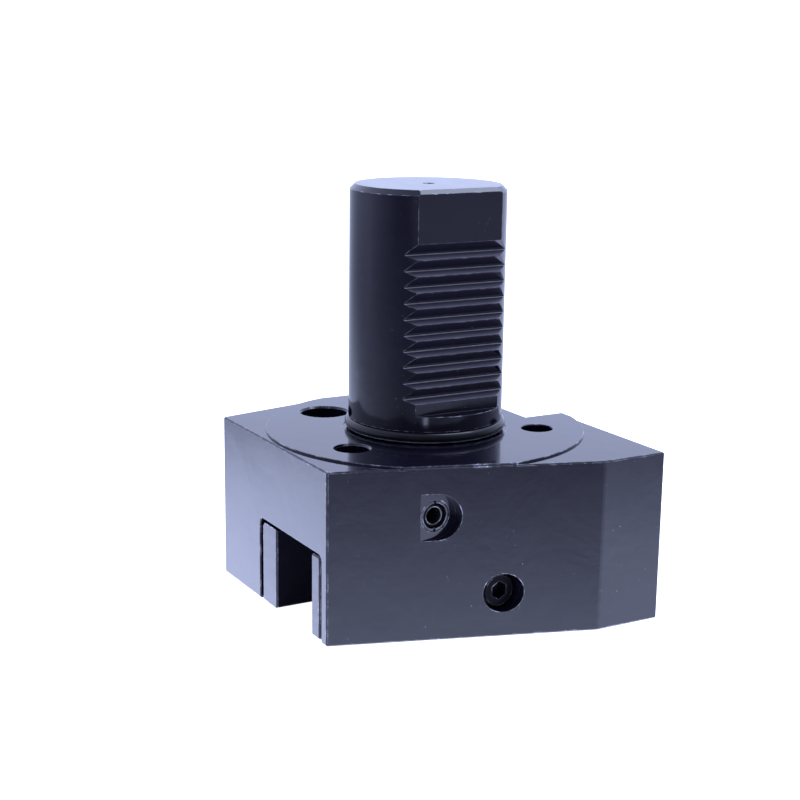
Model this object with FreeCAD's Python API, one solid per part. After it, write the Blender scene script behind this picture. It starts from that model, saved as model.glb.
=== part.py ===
import FreeCAD, Part
import math
import os

# Radial turning toolholder with a cylindrical serrated shank, size 40.
# Millimetres. Origin: shank axis at the flange seating face. +Z runs up the
# shank, +X along the tool slot, +Y towards the thick clamping leg.

# ---- driving dimensions ---------------------------------------------------
SHANK_R = 20.0            # shank diameter 40
SHANK_LEN = 63.0
SHANK_CHAMFER = 1.3
FLAT_DIST = 16.0          # rack flat, measured from the shank axis
FLAT_FOOT_Z = 7.0
RACK_PITCH = 4.0
RACK_TEETH = 10
RACK_FIRST_Z = 11.3       # root of the groove nearest the flange
RACK_DEPTH = 2.25
RACK_DROP = 1.2           # opening of a groove below its root
RACK_RISE = 2.55          # opening of a groove above its root
SEAL_GROOVE_R = 17.95
SEAL_GROOVE_H = 3.1
SEAL_RING_R = 19.45       # centreline radius of the seal ring
SEAL_SECTION_R = 1.48
SEAL_RELIEF_R = 21.3      # shallow relief round the shank, clear of the seal ring
SEAL_RELIEF_DEPTH = 0.3

DISC_R = 41.5             # raised round seat on the flange, diameter 83
DISC_H = 0.5
BODY_H = 44.0             # flange face to the underside of the legs
EDGE_BREAK = 0.35

# plan outline of the body, anticlockwise from the thin corner of the near leg
OUTLINE = [
    (-42.5, -27.5),
    (22.4, -48.8),
    (40.6, -48.8),
    (40.6, -4.4),
    (28.8, -4.4),
    (28.8, 33.0),
    (22.0, 40.2),
    (-12.6, 40.2),
    (-42.5, 33.8),
]

SLOT_NEAR_Y = -24.7       # slot wall on the near leg
SLOT_FAR_Y = 10.6         # slot wall on the clamping leg
SLOT_TOP_Z = -22.0
SLOT_FILLET = 1.6

SEAT_FACE_Y = -19.0       # face that carries the tool
SEAT_T = 4.3
SEAT_X = (-42.3, 40.4)
LAND_X = (-30.0, 30.0)    # part of the plate that touches the slot wall
BAR_FACE_Y = 1.0          # clamping face at rest, 20 mm from the seat
BAR_T = 8.0
BAR_X = (-42.3, 28.6)
BAR_TOP_Z = -22.8
BAR_FOOT_Z = -43.8
BAR_MID_Z = -33.0

CLAMP_SCREW_X = {"left": -31.0, "centre": -7.0, "right": 17.0}
CLAMP_SCREW_R = 6.0
CLAMP_SCREW_END_Y = 33.2
DOG_R = 4.2
DOG_POCKET = 1.0

RETURN_SCREW_X = {"left": -19.0, "right": 5.0}
RETURN_BORE_FLOOR_Y = 21.0
RETURN_BORE_R = 5.0
SPRING_LEN = 9.0
SPRING_R = 3.6            # centreline radius of the coil
WIRE_R = 0.4
WASHER_T = 1.0
CAP_HEAD_R = 4.25
CAP_HEAD_H = 5.0
CAP_SHANK_R = 2.5

SEAT_SCREW_X = -1.0
SEAT_SCREW_Z = -32.8
SEAT_BORE_R = 4.9
SEAT_BORE_FLOOR_Y = -34.0
DOWEL_X = {"left": -22.0, "right": 20.0}
DOWEL_R = 2.0

INLET_XY = (-27.7, -12.2)
INLET_R = 4.25
INLET_CHAMFER = 0.5
JACK_XY = (-16.7, 25.2)
JACK_R = 6.25
JACK_CHAMFER = 0.5
LOCATING_XY = (24.8, -15.6)
LOCATING_R = 4.1
LOCATING_CHAMFER = 0.2

NOZZLE_X = -17.0
NOZZLE_Z = -12.8
POCKET_R = 5.75
POCKET_FLOOR_Y = -34.57   # flat floor that runs out on the slanted face
NOZZLE_BORE_R = 3.9       # depths below are measured from the pocket floor
CHAMBER_DEPTH = 7.5
RING_DEPTH = (0.1, 2.2)
RING_HOLE_R = 3.2
BALL_R = 3.7
BALL_DEPTH = 3.5
BALL_HOLE_R = 2.0
BALL_NOSE = 2.93          # flat nose of the ball, from its centre
SEAT_DEPTH = (3.8, 6.6)
SEAT_HOLE_R = 2.8
DUCT_R = 2.0
DUCT_FROM = (-17.9, -30.0)
DUCT_TO = (-27.4, -12.2)  # on the axis of the coolant inlet

FIT = 0.05                # radial clearance of threads and running fits

X_AXIS = FreeCAD.Vector(1, 0, 0)
Y_AXIS = FreeCAD.Vector(0, 1, 0)
Z_AXIS = FreeCAD.Vector(0, 0, 1)


def vec(x, y, z):
    return FreeCAD.Vector(x, y, z)


def box(x0, x1, y0, y1, z0, z1):
    return Part.makeBox(x1 - x0, y1 - y0, z1 - z0, vec(x0, y0, z0))


def y_cylinder(radius, x, z, y0, y1):
    """Cylinder along Y between two Y stations."""
    return Part.makeCylinder(radius, y1 - y0, vec(x, y0, z), Y_AXIS)


def z_hole(radius, xy, floor_z, chamfer, top_z):
    """Drilled hole down from a horizontal face, with a conical drill point and a chamfered mouth."""
    depth = top_z - floor_z
    point = Part.makeCone(0.0, radius, radius * 0.6, vec(xy[0], xy[1], floor_z - radius * 0.6))
    barrel = Part.makeCylinder(radius, depth + 1.0, vec(xy[0], xy[1], floor_z))
    mouth = Part.makeCone(radius, radius + chamfer + 1.0, chamfer + 1.0, vec(xy[0], xy[1], top_z - chamfer))
    return barrel.fuse([point, mouth])


def prism(points, z0, z1):
    corners = [vec(x, y, z0) for x, y in points]
    wire = Part.makePolygon(corners + corners[:1])
    return Part.Face(wire).extrude(vec(0, 0, z1 - z0))


def hex_prism(across_flats, length, base, direction):
    """Hexagonal prism standing on base and running along direction."""
    radius = across_flats / math.sqrt(3.0)
    corners = []
    for k in range(6):
        angle = math.radians(60.0 * k + 30.0)
        corners.append(vec(radius * math.cos(angle), radius * math.sin(angle), 0))
    solid = Part.Face(Part.makePolygon(corners + corners[:1])).extrude(vec(0, 0, length))
    turn = FreeCAD.Rotation(Z_AXIS, direction)
    solid.Placement = FreeCAD.Placement(base, turn)
    return solid


def break_edges(shape, pick, size):
    """Chamfer the edges that pick() accepts."""
    edges = [edge for edge in shape.Edges if pick(edge)]
    return shape.makeChamfer(size, edges) if edges else shape


def is_line_along(edge, axis):
    if edge.Curve.TypeId != "Part::GeomLine":
        return False
    return abs(edge.tangentAt(edge.FirstParameter).dot(axis)) > 0.999


def nozzle_cylinder(radius, depth_0, depth_1):
    return y_cylinder(radius, NOZZLE_X, NOZZLE_Z, POCKET_FLOOR_Y + depth_0, POCKET_FLOOR_Y + depth_1)


def ball_centre():
    return vec(NOZZLE_X, POCKET_FLOOR_Y + BALL_DEPTH, NOZZLE_Z)


# ---- holder body ----------------------------------------------------------
def make_block():
    block = prism(OUTLINE, -BODY_H, -DISC_H)

    def outer_edge(edge):
        return edge.Curve.TypeId == "Part::GeomLine"

    block = break_edges(block, outer_edge, EDGE_BREAK)
    disc = Part.makeCylinder(DISC_R, DISC_H + 0.2, vec(0, 0, -DISC_H - 0.2))
    inner = prism(OUTLINE, -DISC_H - 0.3, 1.0)
    disc = disc.common(inner)
    rim = [e for e in disc.Edges if abs(e.BoundBox.ZMin) < 1e-6 and abs(e.BoundBox.ZMax) < 1e-6]
    disc = disc.makeChamfer(0.15, rim)
    return block.fuse(disc)


def make_shank():
    shank = Part.makeCylinder(SHANK_R, SHANK_LEN - FLAT_FOOT_Z, vec(0, 0, FLAT_FOOT_Z))
    top = [e for e in shank.Edges if e.BoundBox.ZMin > SHANK_LEN - 0.5 and e.Curve.TypeId == "Part::GeomCircle"]
    shank = shank.makeChamfer(SHANK_CHAMFER, top)
    flat = box(-30, 30, -30, -FLAT_DIST, FLAT_FOOT_Z - 1, SHANK_LEN + 5)
    shank = shank.cut(flat)
    lip = [e for e in shank.Edges
           if is_line_along(e, X_AXIS) and e.BoundBox.ZMin > SHANK_LEN - 0.5]
    shank = shank.makeChamfer(1.0, lip)
    cutters = []
    root_y = -(FLAT_DIST - RACK_DEPTH)
    mouth_y = -FLAT_DIST - 1.0
    flare = (root_y - mouth_y) / RACK_DEPTH
    for k in range(RACK_TEETH):
        z = RACK_FIRST_Z + RACK_PITCH * k
        profile = [
            vec(-30, root_y, z - 0.08),
            vec(-30, root_y, z + 0.12),
            vec(-30, mouth_y, z + RACK_RISE * flare),
            vec(-30, mouth_y, z - RACK_DROP * flare),
        ]
        face = Part.Face(Part.makePolygon(profile + profile[:1]))
        cutters.append(face.extrude(vec(60, 0, 0)))
    shank = shank.cut(Part.makeCompound(cutters))
    centre = Part.makeCone(0.0, 1.6, 1.6, vec(0, 0, SHANK_LEN - 1.6 + 0.01))
    pilot = Part.makeCylinder(0.8, 4.0, vec(0, 0, SHANK_LEN - 4.0))
    shank = shank.cut(centre.fuse(pilot))
    return shank.fuse(make_shank_neck())


def make_shank_neck():
    """Full round foot of the shank with the seal groove at its root."""
    root_z = -SEAL_RELIEF_DEPTH - 0.1
    neck = Part.makeCylinder(SHANK_R, FLAT_FOOT_Z - root_z, vec(0, 0, root_z))
    groove_h = SEAL_GROOVE_H - root_z
    groove = Part.makeCylinder(SHANK_R + 2, groove_h, vec(0, 0, root_z))
    groove = groove.cut(Part.makeCylinder(SEAL_GROOVE_R, groove_h, vec(0, 0, root_z)))
    return neck.cut(groove)


def make_slot():
    slot = box(-60, 60, SLOT_NEAR_Y, SLOT_FAR_Y, -BODY_H - 5, SLOT_TOP_Z)
    ceiling = [e for e in slot.Edges
               if is_line_along(e, X_AXIS) and abs(e.BoundBox.ZMax - SLOT_TOP_Z) < 1e-6]
    return slot.makeFillet(SLOT_FILLET, ceiling)


def make_clamp_leg_holes():
    cuts = []
    for x in CLAMP_SCREW_X.values():
        cuts.append(y_cylinder(CLAMP_SCREW_R + FIT, x, BAR_MID_Z, SLOT_FAR_Y - 1, 45))
    for x in RETURN_SCREW_X.values():
        cuts.append(y_cylinder(CAP_SHANK_R + 0.3, x, BAR_MID_Z, SLOT_FAR_Y - 1, 45))
        cuts.append(y_cylinder(RETURN_BORE_R, x, BAR_MID_Z, RETURN_BORE_FLOOR_Y, 45))
    return cuts


def make_near_leg_holes():
    cuts = [
        y_cylinder(SEAT_BORE_R, SEAT_SCREW_X, SEAT_SCREW_Z, -60, SEAT_BORE_FLOOR_Y),
        y_cylinder(CAP_SHANK_R + 0.25, SEAT_SCREW_X, SEAT_SCREW_Z, -60, SLOT_NEAR_Y + 1),
    ]
    for x in DOWEL_X.values():
        cuts.append(y_cylinder(DOWEL_R + 0.01, x, BAR_MID_Z, SLOT_NEAR_Y - 7, SLOT_NEAR_Y + 1))
    return cuts


def make_duct():
    """Slanted drilling from the nozzle chamber to the coolant inlet."""
    start = vec(DUCT_FROM[0], DUCT_FROM[1], NOZZLE_Z)
    run = vec(DUCT_TO[0], DUCT_TO[1], NOZZLE_Z) - start
    return Part.makeCylinder(DUCT_R, run.Length, start, run)


def make_coolant_cuts():
    top = 0.0
    cuts = [
        z_hole(INLET_R, INLET_XY, -15.0, INLET_CHAMFER, top),
        z_hole(JACK_R, JACK_XY, -15.0, JACK_CHAMFER, top),
        z_hole(LOCATING_R, LOCATING_XY, -11.0, LOCATING_CHAMFER, top),
        nozzle_cylinder(POCKET_R, -14.0, 0.0),
        box(-36, NOZZLE_X, POCKET_FLOOR_Y - 14, POCKET_FLOOR_Y, NOZZLE_Z - POCKET_R, NOZZLE_Z + POCKET_R),
        nozzle_cylinder(NOZZLE_BORE_R, -1.0, CHAMBER_DEPTH),
        make_duct(),
    ]
    return cuts


def make_holder_body():
    relief = Part.makeCylinder(SEAL_RELIEF_R, 2.0, vec(0, 0, -SEAL_RELIEF_DEPTH))
    body = make_block().cut(relief).fuse(make_shank())
    body = body.cut(make_slot())
    cuts = make_clamp_leg_holes() + make_near_leg_holes() + make_coolant_cuts()
    for tool in cuts:
        body = body.cut(tool)

    def leg_mouth(edge):
        at_end = abs(edge.BoundBox.XMin + 42.5) < 1e-4 and abs(edge.BoundBox.XMax + 42.5) < 1e-4
        return at_end and edge.BoundBox.ZMin > -BODY_H + 1 and edge.BoundBox.ZMax < SLOT_TOP_Z + 1e-3

    return break_edges(body, leg_mouth, 0.25)


# ---- slot hardware --------------------------------------------------------
def make_plain_bar(x_span, y0, y1):
    bar = box(x_span[0], x_span[1], y0, y1, BAR_FOOT_Z, BAR_TOP_Z)
    return bar.makeChamfer(0.4, bar.Edges)


def make_clamp_bar():
    back = BAR_FACE_Y + BAR_T
    bar = box(BAR_X[0], BAR_X[1], BAR_FACE_Y, back, BAR_FOOT_Z, BAR_TOP_Z)
    rear_top = [e for e in bar.Edges
                if is_line_along(e, X_AXIS)
                and e.BoundBox.ZMin > BAR_TOP_Z - 0.1 and e.BoundBox.YMin > back - 0.1]
    bar = bar.makeChamfer(1.0, rear_top)
    rest = [e for e in bar.Edges
            if not (is_line_along(e, X_AXIS) and e.BoundBox.YMin > back - 1.1
                    and e.BoundBox.ZMin > BAR_TOP_Z - 1.1)]
    front = [e for e in rest if e.BoundBox.YMax < BAR_FACE_Y + 0.1]
    bar = bar.makeChamfer(0.4, front)
    for x in CLAMP_SCREW_X.values():
        bar = bar.cut(y_cylinder(DOG_R + FIT, x, BAR_MID_Z, back - DOG_POCKET, back + 1))
    for x in RETURN_SCREW_X.values():
        bar = bar.cut(y_cylinder(CAP_SHANK_R + FIT, x, BAR_MID_Z, BAR_FACE_Y - 1, back + 1))
    return bar


def make_seat_plate():
    back = SEAT_FACE_Y - SEAT_T
    plate = make_plain_bar(SEAT_X, back, SEAT_FACE_Y)
    land = box(LAND_X[0], LAND_X[1], SLOT_NEAR_Y, back + 0.6, BAR_FOOT_Z + 2, BAR_TOP_Z - 2)
    plate = plate.fuse(land).removeSplitter()
    bore = y_cylinder(CAP_SHANK_R + FIT, SEAT_SCREW_X, SEAT_SCREW_Z, SLOT_NEAR_Y - 1, SEAT_FACE_Y + 1)
    plate = plate.cut(bore)
    for x in DOWEL_X.values():
        plate = plate.cut(y_cylinder(DOWEL_R + 0.02, x, BAR_MID_Z, SLOT_NEAR_Y - 1, SEAT_FACE_Y + 1))
    return plate


def make_cap_screw(x, z, seat_y, tip_y, head_dir):
    """Socket head cap screw along Y; head_dir is +1 when the head points to +Y."""
    if head_dir > 0:
        shank = y_cylinder(CAP_SHANK_R, x, z, tip_y, seat_y)
        head = y_cylinder(CAP_HEAD_R, x, z, seat_y, seat_y + CAP_HEAD_H)
        outer_y = seat_y + CAP_HEAD_H
    else:
        shank = y_cylinder(CAP_SHANK_R, x, z, seat_y, tip_y)
        head = y_cylinder(CAP_HEAD_R, x, z, seat_y - CAP_HEAD_H, seat_y)
        outer_y = seat_y - CAP_HEAD_H
    rim = [e for e in head.Edges
           if abs(e.BoundBox.YMin - outer_y) < 1e-6 and abs(e.BoundBox.YMax - outer_y) < 1e-6]
    head = head.makeChamfer(0.4, rim)
    screw = shank.fuse(head).removeSplitter()
    socket = hex_prism(4.0, 3.5, vec(x, outer_y - head_dir * 2.5, z), Y_AXIS * head_dir)
    return screw.cut(socket)


def make_clamp_screw(x):
    back = BAR_FACE_Y + BAR_T
    tip_y = back - DOG_POCKET + FIT
    neck_y = back + 0.5
    barrel = y_cylinder(CLAMP_SCREW_R, x, BAR_MID_Z, neck_y, CLAMP_SCREW_END_Y)
    ends = [e for e in barrel.Edges if e.Curve.TypeId == "Part::GeomCircle"]
    barrel = barrel.makeChamfer(0.7, ends)
    dog = y_cylinder(DOG_R, x, BAR_MID_Z, tip_y, neck_y + 0.1)
    screw = barrel.fuse(dog).removeSplitter()
    socket = hex_prism(6.0, 9.0, vec(x, CLAMP_SCREW_END_Y - 7.0, BAR_MID_Z), Y_AXIS)
    return screw.cut(socket)


def make_return_spring(x):
    """Compression spring between the counterbore floor and the washer."""
    turns = 6.0
    height = SPRING_LEN - 2 * WIRE_R - 0.1
    helix = Part.makeHelix(height / turns, height, SPRING_R)
    section = Part.Wire([Part.makeCircle(WIRE_R, vec(SPRING_R, 0, 0), Y_AXIS)])
    coil = Part.Wire(helix.Edges).makePipeShell([section], True, True)
    turn = FreeCAD.Rotation(Z_AXIS, Y_AXIS)
    start_y = RETURN_BORE_FLOOR_Y + WIRE_R + 0.05
    coil.Placement = FreeCAD.Placement(vec(x, start_y, BAR_MID_Z), turn)
    return coil


def make_return_washer(x):
    y0 = RETURN_BORE_FLOOR_Y + SPRING_LEN
    washer = y_cylinder(4.6, x, BAR_MID_Z, y0, y0 + WASHER_T)
    return washer.cut(y_cylinder(CAP_SHANK_R + 0.1, x, BAR_MID_Z, y0 - 1, y0 + 2))


def make_return_screw(x):
    seat_y = RETURN_BORE_FLOOR_Y + SPRING_LEN + WASHER_T
    return make_cap_screw(x, BAR_MID_Z, seat_y, BAR_FACE_Y + 1.2, 1)


def make_dowel(x):
    dowel = y_cylinder(DOWEL_R, x, BAR_MID_Z, SLOT_NEAR_Y - 6.5, SEAT_FACE_Y - 0.8)
    return dowel.makeChamfer(0.3, [e for e in dowel.Edges if e.Curve.TypeId == "Part::GeomCircle"])


# ---- seal and nozzle -------------------------------------------------------
def make_shank_seal_ring():
    return Part.makeTorus(SEAL_RING_R, SEAL_SECTION_R, vec(0, 0, SEAL_SECTION_R + 0.02))


def nozzle_ball_space():
    return Part.makeSphere(BALL_R + FIT, ball_centre())


def make_nozzle_ball():
    """Ball with a through bore, a flat nose and tail, and a chamfered mouth."""
    centre = ball_centre()
    nose_y = centre.y - BALL_NOSE
    tail_y = centre.y + BALL_NOSE
    ball = Part.makeSphere(BALL_R, centre)
    ball = ball.cut(y_cylinder(BALL_R, NOZZLE_X, NOZZLE_Z, nose_y - BALL_R, nose_y))
    ball = ball.cut(y_cylinder(BALL_R, NOZZLE_X, NOZZLE_Z, tail_y, tail_y + BALL_R))
    ball = ball.cut(y_cylinder(BALL_HOLE_R, NOZZLE_X, NOZZLE_Z, nose_y - 1, tail_y + 1))
    mouth = Part.makeCone(BALL_HOLE_R + 0.15, BALL_HOLE_R, 0.15, vec(NOZZLE_X, nose_y, NOZZLE_Z), Y_AXIS)
    return ball.cut(mouth)


def make_nozzle_ring():
    """Threaded ring with two spanner notches that holds the ball on its seat."""
    front, back = RING_DEPTH
    ring = nozzle_cylinder(NOZZLE_BORE_R - FIT, front, back)
    outer = [e for e in ring.Edges if e.Curve.TypeId == "Part::GeomCircle"]
    ring = ring.makeChamfer(0.15, outer)
    ring = ring.cut(nozzle_cylinder(RING_HOLE_R, front - 1, back + 1)).cut(nozzle_ball_space())
    for side in (-1, 1):
        z = NOZZLE_Z + side * (RING_HOLE_R + 0.35)
        ring = ring.cut(y_cylinder(0.4, NOZZLE_X, z, POCKET_FLOOR_Y - 1, POCKET_FLOOR_Y + front + 0.6))
    return ring


def make_nozzle_seat():
    """Soft seat behind the ball, open in the middle for the coolant."""
    front, back = SEAT_DEPTH
    seat = nozzle_cylinder(NOZZLE_BORE_R - FIT, front, back)
    seat = seat.cut(nozzle_ball_space())
    return seat.cut(nozzle_cylinder(SEAT_HOLE_R, front - 1, back + 1))


# ---- assembly -------------------------------------------------------------
def build():
    nodes = {
        "holder_body": make_holder_body(),
        "shank_seal_ring": make_shank_seal_ring(),
        "clamp_bar": make_clamp_bar(),
        "seat_plate": make_seat_plate(),
        "seat_plate_screw": make_cap_screw(
            SEAT_SCREW_X, SEAT_SCREW_Z, SEAT_BORE_FLOOR_Y, SEAT_FACE_Y - 0.6, -1),
        "coolant_nozzle_ball": make_nozzle_ball(),
        "nozzle_retaining_ring": make_nozzle_ring(),
        "nozzle_seat_ring": make_nozzle_seat(),
    }
    for side, x in CLAMP_SCREW_X.items():
        nodes["clamp_screw_" + side] = make_clamp_screw(x)
    for side, x in RETURN_SCREW_X.items():
        nodes["return_screw_" + side] = make_return_screw(x)
        nodes["return_spring_" + side] = make_return_spring(x)
        nodes["return_washer_" + side] = make_return_washer(x)
    for side, x in DOWEL_X.items():
        nodes["seat_dowel_" + side] = make_dowel(x)
    return nodes


os.makedirs("parts", exist_ok=True)
for name, shape in build().items():
    print(name, "valid", shape.isValid(), "solids", len(shape.Solids), "volume %.1f" % shape.Volume)
    shape.exportStep("parts/%s.step" % name)
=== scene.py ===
import math

import bpy
from mathutils import Matrix, Vector


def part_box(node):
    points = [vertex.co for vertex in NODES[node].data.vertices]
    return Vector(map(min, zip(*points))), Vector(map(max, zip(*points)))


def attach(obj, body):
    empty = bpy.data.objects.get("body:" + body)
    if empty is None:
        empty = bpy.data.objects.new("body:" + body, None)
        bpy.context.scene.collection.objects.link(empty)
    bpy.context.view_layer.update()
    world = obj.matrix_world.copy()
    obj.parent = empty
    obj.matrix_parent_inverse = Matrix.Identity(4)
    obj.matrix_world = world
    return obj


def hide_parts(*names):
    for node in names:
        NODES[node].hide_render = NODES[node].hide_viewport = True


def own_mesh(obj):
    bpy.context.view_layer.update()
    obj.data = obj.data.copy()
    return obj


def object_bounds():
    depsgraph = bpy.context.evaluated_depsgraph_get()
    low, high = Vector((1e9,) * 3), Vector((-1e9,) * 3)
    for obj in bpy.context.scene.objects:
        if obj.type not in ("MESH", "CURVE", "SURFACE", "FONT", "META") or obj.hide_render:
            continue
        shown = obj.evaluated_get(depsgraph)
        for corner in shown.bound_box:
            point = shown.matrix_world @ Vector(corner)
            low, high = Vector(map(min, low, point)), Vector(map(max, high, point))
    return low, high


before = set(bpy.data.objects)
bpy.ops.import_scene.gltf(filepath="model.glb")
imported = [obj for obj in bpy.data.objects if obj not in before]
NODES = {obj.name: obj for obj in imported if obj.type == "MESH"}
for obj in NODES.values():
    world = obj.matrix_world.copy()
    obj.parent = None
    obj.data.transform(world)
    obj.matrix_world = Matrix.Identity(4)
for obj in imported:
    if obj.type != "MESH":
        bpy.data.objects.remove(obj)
CAD_LO, CAD_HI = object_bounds()

MM = 0.001

# ---- camera ------------------------------------------------------------------
CAM_AT = Vector((-0.20018, -0.34031, 0.09871))
CAM_YAW = 29.52          # degrees right of +Y
CAM_DOWN = 13.12
CAM_ROLL = 0.75
CAM_LENS = 69.95
SENSOR = 36.0
CAM_CLIP = (0.01, 20.0)

# ---- studio ------------------------------------------------------------------
LIGHT_TINT = (0.89, 1.0, 1.47)
BACKDROP_GLOW = 1.05
FLOOR_HALF = 1.2
FLOOR_TONE = (.92, .92, .92)
FLOOR_GLOW = 1.05
# colour of the painted-shadow patch under the object
SHADE_TONE = (.03, .03, .04)
SHADE_LIFT = 0.1 * MM      # height of the painted-shadow patch over the floor
BOX_SIZE = (0.7, 0.5)
BOX_POWER = 6.0
BOX_COLOUR = (0.68, 0.76, 1.0)
BOX_AT = Vector((0.25, 0.10, 0.85))
BOX_AIM = Vector((0.0, 0.0, 0.01))

# ---- wear and detail shared by the finishes ------------------------------------
CORNER_RADIUS = 0.14 * MM  # rounding that a corner shows
OPEN_FACE, SHARP_CORNER = 0.97, 0.80   # inside occlusion on each
CORNER_REACH = 0.22 * MM   # how far rubbing spreads from an outside corner
FINE_CORNER_REACH = 0.15 * MM
BARE_STEEL = (.60, .62, .70)
BARE_ROUGHNESS = (.24, .24, .24)
WORN_METAL = (.75, .76, .80)

# Textures: scale per metre, detail, roughness, warp.
CLOUD = (60.0, 4.0, 0.55, 0.4)
SMEAR = (160.0, 5.0, 0.6, 1.2)
FLECK = (1900.0, 2.0, 0.6)
GRIND = (900.0, 3.0, 0.7)
RUB = (420.0, 4.0, 0.65)
RUBBER_GRAIN = (2600.0, 3.0, 0.6)
RUBBER_CLOUD = (220.0, 4.0, 0.6)
METAL_CLOUD = (320.0, 4.0, 0.6, 0.5)
METAL_LINES = (1200.0, 3.0, 0.6)
POLYMER_CLOUD = (300.0, 4.0, 0.6)
POLYMER_GRAIN = (2400.0,)

CLOUD_HEIGHT = 0.12 * MM
FLECK_HEIGHT = 0.006 * MM
RUBBER_HEIGHT = 0.004 * MM
FINE_HEIGHT = 0.01 * MM

# ---- rack and springs ------------------------------------------------------------
RACK_CUT_AND_LIT_TONE = (.170, .163, .205)   # flanks of the rack as machined, a little lighter steel, plus painted light: only up-facing flanks get it
# pale line painted as a highlight along each groove bottom of the rack
RACK_ROOT_HIGHLIGHT_TONE = (.60, .58, .66)
RACK_FRONT_Y = -13.6 * MM  # the rack's zone lies in front of this, between the two heights
RACK_FOOT_Z = 9.0 * MM
RACK_TOP_Z = 50.0 * MM
RACK_DEPTHS = (-13.0 * MM, -16.2 * MM)
RACK_FACING_UP = 0.3       # least upward part of the normal on a flank given painted light
RACK_WEAR_CUT = -0.75      # change in corner wear inside the rack's zone
# height range of the pale band painted as a highlight on the seal ring
HIGHLIGHT_BAND_HEIGHTS = (0.0, 2.0 * MM)


# ---- small node-tree helpers ---------------------------------------------------
class Tree:
    """A node tree with short calls for the nodes used here."""

    def __init__(self, owner):
        owner.use_nodes = True
        self.nodes = owner.node_tree.nodes
        self.links = owner.node_tree.links
        self.nodes.clear()

    def add(self, kind, **settings):
        node = self.nodes.new(kind)
        for key, value in settings.items():
            setattr(node, key, value)
        return node

    def feed(self, socket, value):
        """Links an output, or sets a plain value."""
        if isinstance(value, bpy.types.NodeSocket):
            self.links.new(value, socket)
        elif value is not None:
            socket.default_value = value

    def math(self, op, a, b=None, c=None, clamp=False):
        node = self.add("ShaderNodeMath", operation=op, use_clamp=clamp)
        for socket, value in zip(node.inputs, (a, b, c)):
            self.feed(socket, value)
        return node.outputs[0]

    def scale(self, vec, factors):
        """Product of two vectors, part by part."""
        node = self.add("ShaderNodeVectorMath", operation="MULTIPLY")
        self.feed(node.inputs[0], vec)
        self.feed(node.inputs[1], factors)
        return node.outputs["Vector"]

    def split(self, vec):
        """The x, y and z outputs of a vector."""
        node = self.add("ShaderNodeSeparateXYZ")
        self.feed(node.inputs[0], vec)
        return node.outputs

    def ramp(self, value, stops):
        """Scalar curve through (position, value) stops, position rising from 0 to 1."""
        node = self.add("ShaderNodeValToRGB")
        elements = node.color_ramp.elements
        while len(elements) < len(stops):
            elements.new(0.5)
        for element, (at, level) in zip(elements, stops):
            element.position = at
            element.color = (level, level, level, 1.0)
        self.feed(node.inputs["Fac"], value)
        return node.outputs["Color"]

    def remap(self, value, low, high, to_low=0.0, to_high=1.0, smooth=False):
        node = self.add("ShaderNodeMapRange", interpolation_type="SMOOTHSTEP" if smooth else "LINEAR")
        for name, number in (("Value", value), ("From Min", low), ("From Max", high),
                             ("To Min", to_low), ("To Max", to_high)):
            self.feed(node.inputs[name], number)
        return node.outputs[0]

    def noise(self, vec, scale, detail=3.0, rough=0.5, warp=0.0):
        node = self.add("ShaderNodeTexNoise")
        self.feed(node.inputs["Vector"], vec)
        node.inputs["Scale"].default_value = scale
        node.inputs["Detail"].default_value = detail
        node.inputs["Roughness"].default_value = rough
        node.inputs["Distortion"].default_value = warp
        return node.outputs["Fac"]

    def mix(self, factor, a, b):
        node = self.add("ShaderNodeMix", data_type="RGBA")
        self.feed(node.inputs["Factor"], factor)
        self.feed(node.inputs["A"], a)
        self.feed(node.inputs["B"], b)
        return node.outputs["Result"]

    def bump(self, height, distance, strength=1.0, normal=None):
        node = self.add("ShaderNodeBump")
        node.inputs["Strength"].default_value = strength
        node.inputs["Distance"].default_value = distance
        self.feed(node.inputs["Height"], height)
        self.feed(node.inputs["Normal"], normal)
        return node.outputs["Normal"]


def colour(r, g, b):
    return (r, g, b, 1.0)


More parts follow.
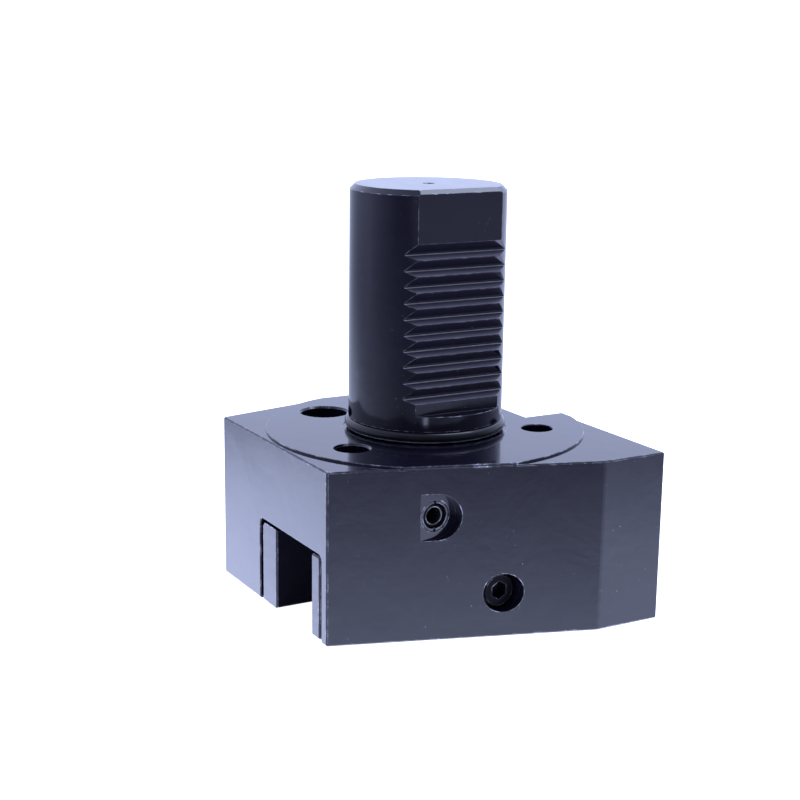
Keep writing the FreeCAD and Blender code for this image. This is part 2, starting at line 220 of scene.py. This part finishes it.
# ---- studio world ----------------------------------------------------------------
# Light level by elevation, and at each elevation by compass bearing from +Y towards +X.
STUDIO_LEVELS = [
    (-22.0, [(-180, 2.25), (-150, 2.0), (-111, 1.7), (-77, 2.3), (-50, 3.0), (-24, 3.5), (-10, 3.0),
             (0, 2.0), (90, 2.0), (135, 2.3), (152, 2.5), (166, 2.5), (180, 2.25)]),
    (-18.5, [(-180, 1.2), (-150, 1.1), (-111, 1.0), (-77, 1.7), (-50, 2.6), (-24, 3.25), (0, 1.9),
             (90, 1.7), (135, 2.3), (152, 2.3), (166, 1.7), (180, 1.2)]),
    (-16.0, [(-180, .68), (-150, .6), (-111, .5), (-77, .9), (-50, 1.6), (-24, 2.7), (0, 1.3),
             (90, 1.1), (135, 1.35), (152, 1.3), (166, .95), (180, .68)]),
    (-14.0, [(-180, .3), (-156, .2), (-152.5, 4.6), (-149.5, 4.6), (-146, .2), (-120, .2),
             (-100, .35), (-77, .6), (-56, .8), (-38, 1.1),
             (-24, 1.45), (0, 1.0), (90, .8), (152, .8), (166, .5), (180, .3)]),
    (-12.0, [(-180, .12), (-156, .14), (-152.5, 4.0), (-149.5, 4.0), (-146, .14), (-120, .17),
             (-102, .30), (-85, .42), (-66, .57), (-56, .53), (-38, .60),
             (-24, .8), (77, .8), (130, .55), (150, .5), (166, .25), (180, .12)]),
    (-9.0, [(-180, .12), (-120, .08), (-102, .15), (-85, .25), (-66, .43), (-56, .58), (-38, .45),
            (-24, .45), (0, .6), (40, .95), (77, .95), (130, .5), (150, .5), (166, .25), (180, .12)]),
    (-6.0, [(-180, .1), (-145, .12), (-133, .42), (-124, .10), (-112, .06), (-102, .08), (-85, .3),
            (-56, .66), (-38, .59), (-24, .55), (0, .7), (40, 1.0), (77, .95), (130, .45), (150, .43),
            (166, .2), (180, .1)]),
    (4.0, [(-180, .2), (-120, .2), (-85, .75), (-60, 1.0), (-20, 1.05), (60, 1.05), (90, .9), (130, .3),
           (180, .2)]),
    (28.0, [(-180, .2), (-120, .2), (-60, 1.0), (0, 1.35), (60, 1.35), (90, 1.0), (130, .4), (180, .2)]),
    (57.0, [(-180, .6), (-60, .9), (20, 1.0), (70, 1.5), (100, 1.9), (130, 1.5), (180, .6)]),
    (80.0, [(-180, .6), (180, .6)]),
]
LEVEL_SCALE = 5.0         # a ramp stop holds at most 1


def studio_world():
    """White to the camera; the object is lit by, and mirrors, STUDIO_LEVELS."""
    world = bpy.data.worlds.new("studio")
    bpy.context.scene.world = world
    t = Tree(world)
    direction = t.add("ShaderNodeTexCoord").outputs["Generated"]
    x, y, z = t.split(direction)
    around = t.remap(t.math("ARCTAN2", x, y), -math.pi, math.pi)
    rise = t.math("MULTIPLY", t.math("ARCSINE", z), 180.0 / math.pi)
    level = None
    below = None
    for elevation, stops in STUDIO_LEVELS:
        row = t.ramp(around, [((deg + 180.0) / 360.0, value / LEVEL_SCALE) for deg, value in stops])
        if level is None:
            level = row
        else:
            level = t.mix(t.remap(rise, below, elevation), level, row)
        below = elevation
    tinted = t.scale(level, tuple(LEVEL_SCALE * c for c in LIGHT_TINT))

    light = t.add("ShaderNodeBackground")
    t.feed(light.inputs["Color"], tinted)
    seen = t.add("ShaderNodeBackground")
    seen.inputs["Color"].default_value = colour(1, 1, 1)
    seen.inputs["Strength"].default_value = BACKDROP_GLOW
    pick = t.add("ShaderNodeMixShader")
    t.feed(pick.inputs[0], t.add("ShaderNodeLightPath").outputs["Is Camera Ray"])
    t.feed(pick.inputs[1], light.outputs[0])
    t.feed(pick.inputs[2], seen.outputs[0])
    out = t.add("ShaderNodeOutputWorld")
    t.feed(out.inputs["Surface"], pick.outputs[0])


def place(name, data):
    """New object in the scene."""
    obj = bpy.data.objects.new(name, data)
    bpy.context.scene.collection.objects.link(obj)
    return obj


def level_sheet(name, x_0, x_1, y_0, y_1, z):
    mesh = bpy.data.meshes.new(name)
    mesh.from_pydata([(x_0, y_0, z), (x_1, y_0, z), (x_1, y_1, z), (x_0, y_1, z)], [], [(0, 1, 2, 3)])
    return place(name, mesh)


def studio_floor():
    """Pale floor that lights the object but isn't mirrored in it."""
    floor = level_sheet("floor", -FLOOR_HALF, FLOOR_HALF, -FLOOR_HALF, FLOOR_HALF, CAD_LO.z)
    floor.visible_glossy = False
    mat = bpy.data.materials.new("floor_white")
    t = Tree(mat)
    shade = t.add("ShaderNodeBsdfPrincipled")
    shade.inputs["Base Color"].default_value = colour(*FLOOR_TONE)
    shade.inputs["Roughness"].default_value = 0.8
    shade.inputs["Emission Color"].default_value = colour(1, 1, 1)
    shade.inputs["Emission Strength"].default_value = FLOOR_GLOW
    out = t.add("ShaderNodeOutputMaterial")
    t.feed(out.inputs["Surface"], shade.outputs[0])
    floor.data.materials.append(mat)


def contact_shade():
    """Painted shadow: dark floor patch between the legs, met by reflections and bounced light, not the
    camera.
    """
    x_0, x_1 = CAD_LO.x + 1.0 * MM, CAD_HI.x - 4.0 * MM
    y_0, y_1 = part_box("seat_plate")[0].y - 1.0 * MM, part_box("clamp_bar")[1].y + 1.0 * MM
    patch = level_sheet("contact_shade", x_0, x_1, y_0, y_1, CAD_LO.z + SHADE_LIFT)
    patch.visible_camera = False
    patch.visible_shadow = False
    mat = bpy.data.materials.new("contact_shade")
    t = Tree(mat)
    shade = t.add("ShaderNodeBsdfDiffuse")
    shade.inputs["Color"].default_value = colour(*SHADE_TONE)
    out = t.add("ShaderNodeOutputMaterial")
    t.feed(out.inputs["Surface"], shade.outputs[0])
    patch.data.materials.append(mat)


def studio_light():
    """Soft box above, slightly behind and to the right."""
    data = bpy.data.lights.new("soft_box", "AREA")
    data.shape = "RECTANGLE"
    data.size, data.size_y = BOX_SIZE
    data.energy = BOX_POWER
    data.color = BOX_COLOUR
    light = place("soft_box", data)
    light.location = BOX_AT
    light.rotation_euler = (BOX_AIM - BOX_AT).to_track_quat("-Z", "Y").to_euler()
    light.visible_camera = False


def camera():
    """Camera in front and to the left, turned right, tipped down and rolled a little."""
    data = bpy.data.cameras.new("camera")
    data.sensor_width = SENSOR
    data.lens = CAM_LENS
    data.clip_start, data.clip_end = CAM_CLIP
    data.dof.use_dof = False
    cam = place("camera", data)
    yaw, down, roll = (math.radians(a) for a in (CAM_YAW, CAM_DOWN, CAM_ROLL))
    ahead = Vector((math.sin(yaw) * math.cos(down), math.cos(yaw) * math.cos(down), -math.sin(down)))
    flat_right = Vector((math.cos(yaw), -math.sin(yaw), 0.0))
    flat_up = flat_right.cross(ahead)
    right = flat_right * math.cos(roll) + flat_up * math.sin(roll)
    up = flat_up * math.cos(roll) - flat_right * math.sin(roll)
    turn = Matrix((right, up, -ahead)).transposed().to_4x4()
    cam.matrix_world = Matrix.Translation(CAM_AT) @ turn
    bpy.context.scene.camera = cam


# ---- finishes -------------------------------------------------------------------
def new_finish(name):
    """A named material's node tree and the object coordinates in it."""
    mat = bpy.data.materials.new(name)
    t = Tree(mat)
    return mat, t, t.add("ShaderNodeTexCoord").outputs["Object"]


def finish_shader(t, base, rough, metal, normal, gloss=0.5):
    shade = t.add("ShaderNodeBsdfPrincipled")
    t.feed(shade.inputs["Base Color"], base)
    t.feed(shade.inputs["Roughness"], rough)
    t.feed(shade.inputs["Metallic"], metal)
    t.feed(shade.inputs["Normal"], normal)
    shade.inputs["IOR"].default_value = 1.5
    shade.inputs["Specular IOR Level"].default_value = gloss
    out = t.add("ShaderNodeOutputMaterial")
    t.feed(out.inputs["Surface"], shade.outputs[0])


def soft_corner(t, radius):
    """Normal that rolls over a worn corner of this radius."""
    node = t.add("ShaderNodeBevel", samples=4)
    node.inputs["Radius"].default_value = radius
    return node.outputs[0]


def proud_corner(t, reach):
    """1 on outside corners, 0 on open faces and inside corners."""
    node = t.add("ShaderNodeAmbientOcclusion", samples=6, inside=True, only_local=True)
    node.inputs["Distance"].default_value = reach
    return t.remap(node.outputs["AO"], OPEN_FACE, SHARP_CORNER, smooth=True)


def rack_flank_painted_light(t, at):
    """The rack's zone, its up-facing flanks given painted light, a painted highlight along the groove
    bottoms, and painted shade darkening the flanks towards the groove bottom.
    """
    _, y, z = t.split(at)
    _, _, facing_up = t.split(t.add("ShaderNodeNewGeometry").outputs["True Normal"])
    front = t.math("LESS_THAN", y, RACK_FRONT_Y)
    above = t.math("GREATER_THAN", z, RACK_FOOT_Z)
    under = t.math("LESS_THAN", z, RACK_TOP_Z)
    lit_side = t.math("GREATER_THAN", facing_up, RACK_FACING_UP)
    zone = t.math("MULTIPLY", t.math("MULTIPLY", front, above), under)
    depth = t.remap(y, *RACK_DEPTHS)
    # painted highlight: a pale line along the groove bottom
    root_highlight = t.ramp(depth, [(0.0, 1.0), (0.28, 1.0), (0.35, 0.0)])
    # painted shade: flanks darker towards the groove bottom, lighter towards the lip
    painted_groove_shade = t.ramp(depth, [(0.0, .25), (0.36, .25), (0.60, .45), (1.0, 1.0)])
    return zone, t.math("MULTIPLY", zone, lit_side), root_highlight, painted_groove_shade


def black_oxide(name, dark, sheen_blue, rough_low, rough_high, line_axis, line_depth, wear,
                gloss=0.5, rack=False):
    """Oiled black oxide on ground steel, bright where the corners are rubbed."""
    mat, t, at = new_finish(name)
    corner = proud_corner(t, CORNER_REACH)
    cloud = t.noise(at, *CLOUD)
    smear = t.noise(t.scale(at, (1.0, 0.35, 1.6)), *SMEAR)
    fleck = t.noise(at, *FLECK)
    lines = t.noise(t.scale(at, line_axis), *GRIND)
    rub = t.remap(t.noise(at, *RUB), 0.46, 0.70, smooth=True)
    nick = t.remap(fleck, 0.745, 0.785, smooth=True)
    tone = t.mix(cloud, colour(*dark), colour(*sheen_blue))
    if rack:
        zone, lit_flank, root_highlight, painted_groove_shade = rack_flank_painted_light(t, at)
        # Painted light on the rack: lighter up-facing flanks, painted shade towards the groove bottom and a
        # painted highlight along it.
        cut_tone_and_painted_light = t.mix(root_highlight, t.mix(painted_groove_shade, colour(*dark), colour(*RACK_CUT_AND_LIT_TONE)), colour(*RACK_ROOT_HIGHLIGHT_TONE))
        tone = t.mix(lit_flank, tone, cut_tone_and_painted_light)
        corner = t.math("MULTIPLY", corner, t.math("MULTIPLY_ADD", zone, RACK_WEAR_CUT, 1.0))
    rubbed = t.math("MULTIPLY", corner, t.math("MULTIPLY_ADD", rub, wear, 0.05))
    bare = t.math("MAXIMUM", rubbed, t.math("MULTIPLY", nick, 0.55), clamp=True)
    base = t.mix(bare, tone, colour(*BARE_STEEL))
    film = t.math("ADD", t.math("MULTIPLY", smear, 0.6), t.math("MULTIPLY", cloud, 0.4))
    rough = t.mix(bare, t.remap(film, 0.35, 0.65, rough_low, rough_high), colour(*BARE_ROUGHNESS))
    relief = t.bump(lines, line_depth, 1.0, soft_corner(t, CORNER_RADIUS))
    relief = t.bump(cloud, CLOUD_HEIGHT, 0.5, relief)
    relief = t.bump(fleck, FLECK_HEIGHT, 0.4, relief)
    finish_shader(t, base, rough, bare, relief, gloss)
    return mat


def rubber(name):
    """Oiled black rubber with a painted highlight: a pale band low on the outside."""
    mat, t, at = new_finish(name)
    grain = t.noise(at, *RUBBER_GRAIN)
    cloud = t.noise(at, *RUBBER_CLOUD)
    base = t.mix(cloud, colour(.004, .004, .006), colour(.008, .008, .012))
    rough = t.remap(cloud, 0.35, 0.65, 0.09, 0.17)
    height = t.remap(t.split(at)[2], *HIGHLIGHT_BAND_HEIGHTS)
    # painted highlight: a pale band at a fixed height low on the ring
    highlight_band = t.ramp(height, [(.20, 0.0), (.27, 1.0), (.34, 1.0), (.41, 0.0)])
    base = t.mix(t.math("MULTIPLY", highlight_band, t.remap(cloud, 0.3, 0.6, 0.35, 1.0)), base, colour(.55, .55, .62))
    finish_shader(t, base, rough, 0.0, t.bump(grain, RUBBER_HEIGHT, 0.5), gloss=0.28)
    return mat


def bright_metal(name, dark, light, rough_low, rough_high, line_axis):
    """Turned or ground steel with fine lines, a little grime and rubbed corners."""
    mat, t, at = new_finish(name)
    corner = proud_corner(t, FINE_CORNER_REACH)
    cloud = t.noise(at, *METAL_CLOUD)
    lines = t.noise(t.scale(at, line_axis), *METAL_LINES)
    base = t.mix(t.remap(cloud, 0.3, 0.7), colour(*dark), colour(*light))
    base = t.mix(t.math("MULTIPLY", corner, 0.6), base, colour(*WORN_METAL))
    rough = t.remap(cloud, 0.3, 0.7, rough_low, rough_high)
    finish_shader(t, base, rough, 1.0, t.bump(lines, FINE_HEIGHT, 0.7))
    return mat


def polymer(name):
    """Pale engineering plastic with a slight mottle."""
    mat, t, at = new_finish(name)
    cloud = t.noise(at, *POLYMER_CLOUD)
    base = t.mix(cloud, colour(.50, .49, .45), colour(.60, .59, .54))
    rough = t.remap(cloud, 0.3, 0.7, 0.42, 0.60)
    finish_shader(t, base, rough, 0.0, t.bump(t.noise(at, *POLYMER_GRAIN), FINE_HEIGHT, 0.5))
    return mat


def coat(obj, mat):
    obj.data.materials.clear()
    obj.data.materials.append(mat)


def paint(names, mat):
    for name in names:
        coat(NODES[name], mat)


def live_spring(node, mat):
    """Copy of a return spring, attached to the holder with a mesh of its own."""
    spring = place(node + "_coil", NODES[node].data.copy())
    coat(spring, mat)
    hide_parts(node)
    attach(spring, "holder")
    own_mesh(spring)


studio_world()
studio_floor()
contact_shade()
studio_light()
camera()

body_finish = black_oxide("black_oxide_body", (.0036, .0030, .0085), (.0058, .0052, .0135),
                          0.07, 0.15, (0.03, 0.03, 1.0), 0.003 * MM, 0.90, rack=True)
bar_finish = black_oxide("black_oxide_bar", (.0060, .0058, .0110), (.0100, .0100, .0200),
                         0.16, 0.26, (0.02, 1.0, 1.0), 0.005 * MM, 0.75)
screw_finish = black_oxide("black_oxide_screw", (.0022, .0022, .0045), (.0045, .0045, .0080),
                           0.30, 0.44, (1.0, 0.1, 1.0), 0.004 * MM, 0.60, gloss=0.05)
ring_finish = rubber("oiled_rubber")
nozzle_finish = black_oxide("nozzle_steel", (.0080, .0075, .0130), (.0130, .0125, .0190),
                            0.14, 0.26, (1.0, 1.0, 0.2), 0.003 * MM, 0.85, gloss=0.6)
wire_finish = bright_metal("spring_wire", (.26, .25, .24), (.40, .39, .38), 0.25, 0.40, (0.2, 1.0, 0.2))
washer_finish = bright_metal("zinc_plate", (.48, .50, .54), (.62, .64, .68), 0.22, 0.38, (1.0, 0.3, 1.0))
pin_finish = bright_metal("ground_pin", (.46, .46, .48), (.58, .58, .61), 0.14, 0.24, (1.0, 0.1, 1.0))
seat_finish = polymer("seat_polymer")

paint(["holder_body"], body_finish)
paint(["clamp_bar", "seat_plate"], bar_finish)
paint(["seat_plate_screw", "clamp_screw_left", "clamp_screw_centre", "clamp_screw_right",
       "return_screw_left", "return_screw_right"], screw_finish)
paint(["shank_seal_ring"], ring_finish)
paint(["coolant_nozzle_ball", "nozzle_retaining_ring"], nozzle_finish)
paint(["nozzle_seat_ring"], seat_finish)
for spring_node in ("return_spring_left", "return_spring_right"):
    live_spring(spring_node, wire_finish)
paint(["return_washer_left", "return_washer_right"], washer_finish)
paint(["seat_dowel_left", "seat_dowel_right"], pin_finish)

bpy.context.scene.view_settings.view_transform = "Standard"
